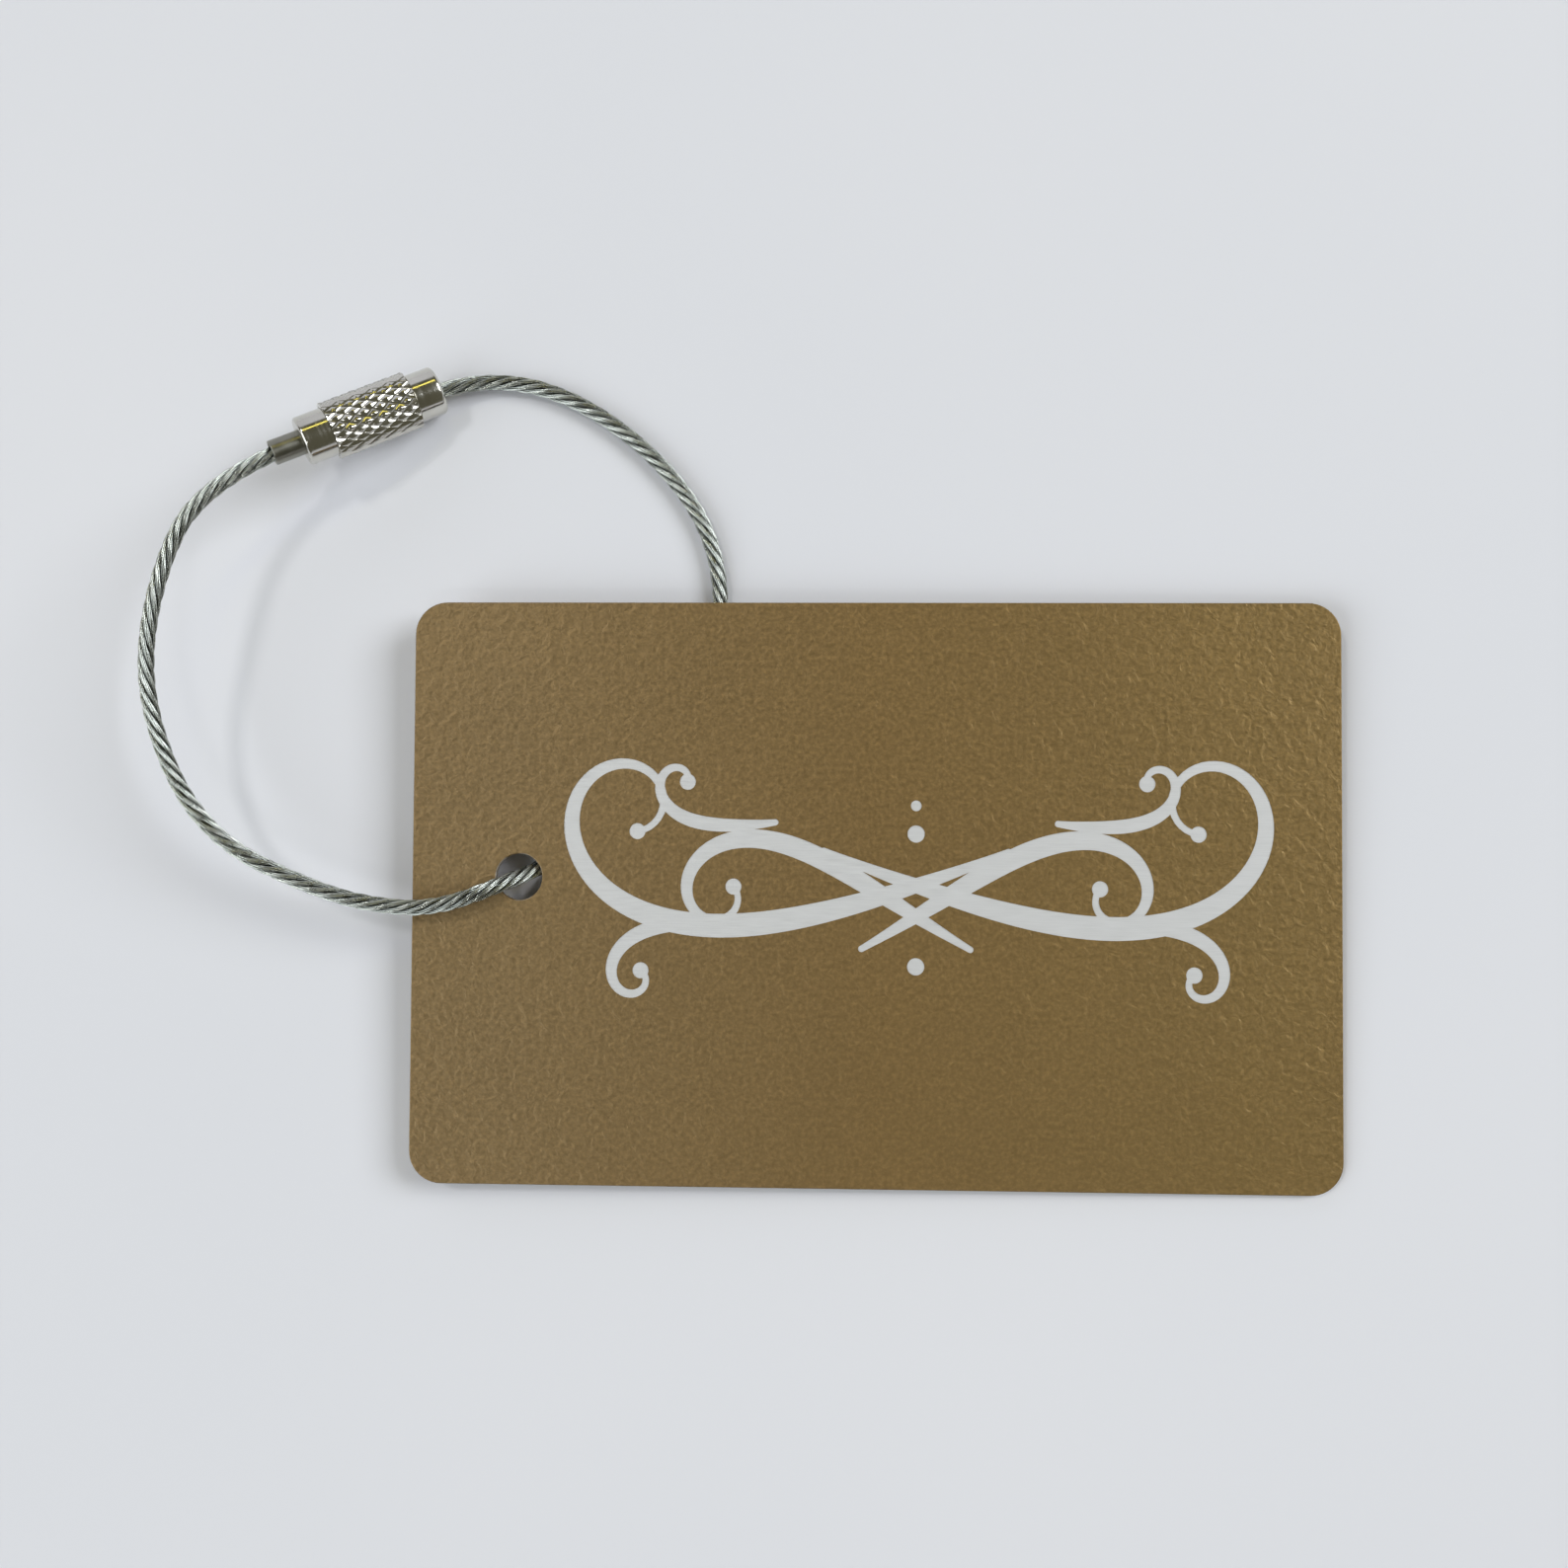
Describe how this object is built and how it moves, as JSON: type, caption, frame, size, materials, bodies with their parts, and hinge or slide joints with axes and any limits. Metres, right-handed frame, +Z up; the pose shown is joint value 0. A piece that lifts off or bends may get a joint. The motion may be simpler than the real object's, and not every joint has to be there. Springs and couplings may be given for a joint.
{
  "type": "luggage tag",
  "caption": "Flat metal luggage tag with rounded corners on a closed wire-rope loop, joined by a knurled screw barrel.",
  "frame": {"origin": "on the table, under the middle of the plate", "axes": "+X along the plate's long side towards its far end from the hole, +Y along its short side towards the loop, +Z up"},
  "size_m": [0.1095, 0.0767, 0.0113],
  "materials": {
    "plate_coating": "fine textured bronze-gold powder coat, satin",
    "engraved_metal": "matt, where the laser has taken the coating off",
    "rope_steel": "bright drawn wire",
    "ferrule_steel": "plain satin",
    "clasp_nickel": "bright nickel plate"
  },
  "bodies": {
    "tag": {"tag_plate": "plate_coating"},
    "loop": {"wire_rope": "rope_steel", "stud_head": "clasp_nickel"},
    "ferrule_end": {"crimp_ferrule": "ferrule_steel"},
    "barrel": {"screw_barrel": "clasp_nickel"}
  },
  "joints": [
    {"name": "loop_swing", "type": "hinge", "parent": "tag", "child": "loop", "pos_m": [-0.0328, 0.0014, 0.003], "axis": [0.5739, 0.8189, 0], "range_deg": [0, 65]},
    {"name": "clasp_draw", "type": "slide", "parent": "loop", "child": "ferrule_end", "axis": [-0.8436, -0.4391, 0.309], "range_m": [0, 0.0024]},
    {"name": "barrel_turn", "type": "hinge", "parent": "ferrule_end", "child": "barrel", "pos_m": [-0.0416, 0.0478, 0.0021], "axis": [-0.8436, -0.4391, 0.309], "range_deg": [0, 1440]}
  ],
  "couplings": [
    {"joint": "barrel_turn", "follows": "clasp_draw", "rad_per_m": 10472}
  ]
}
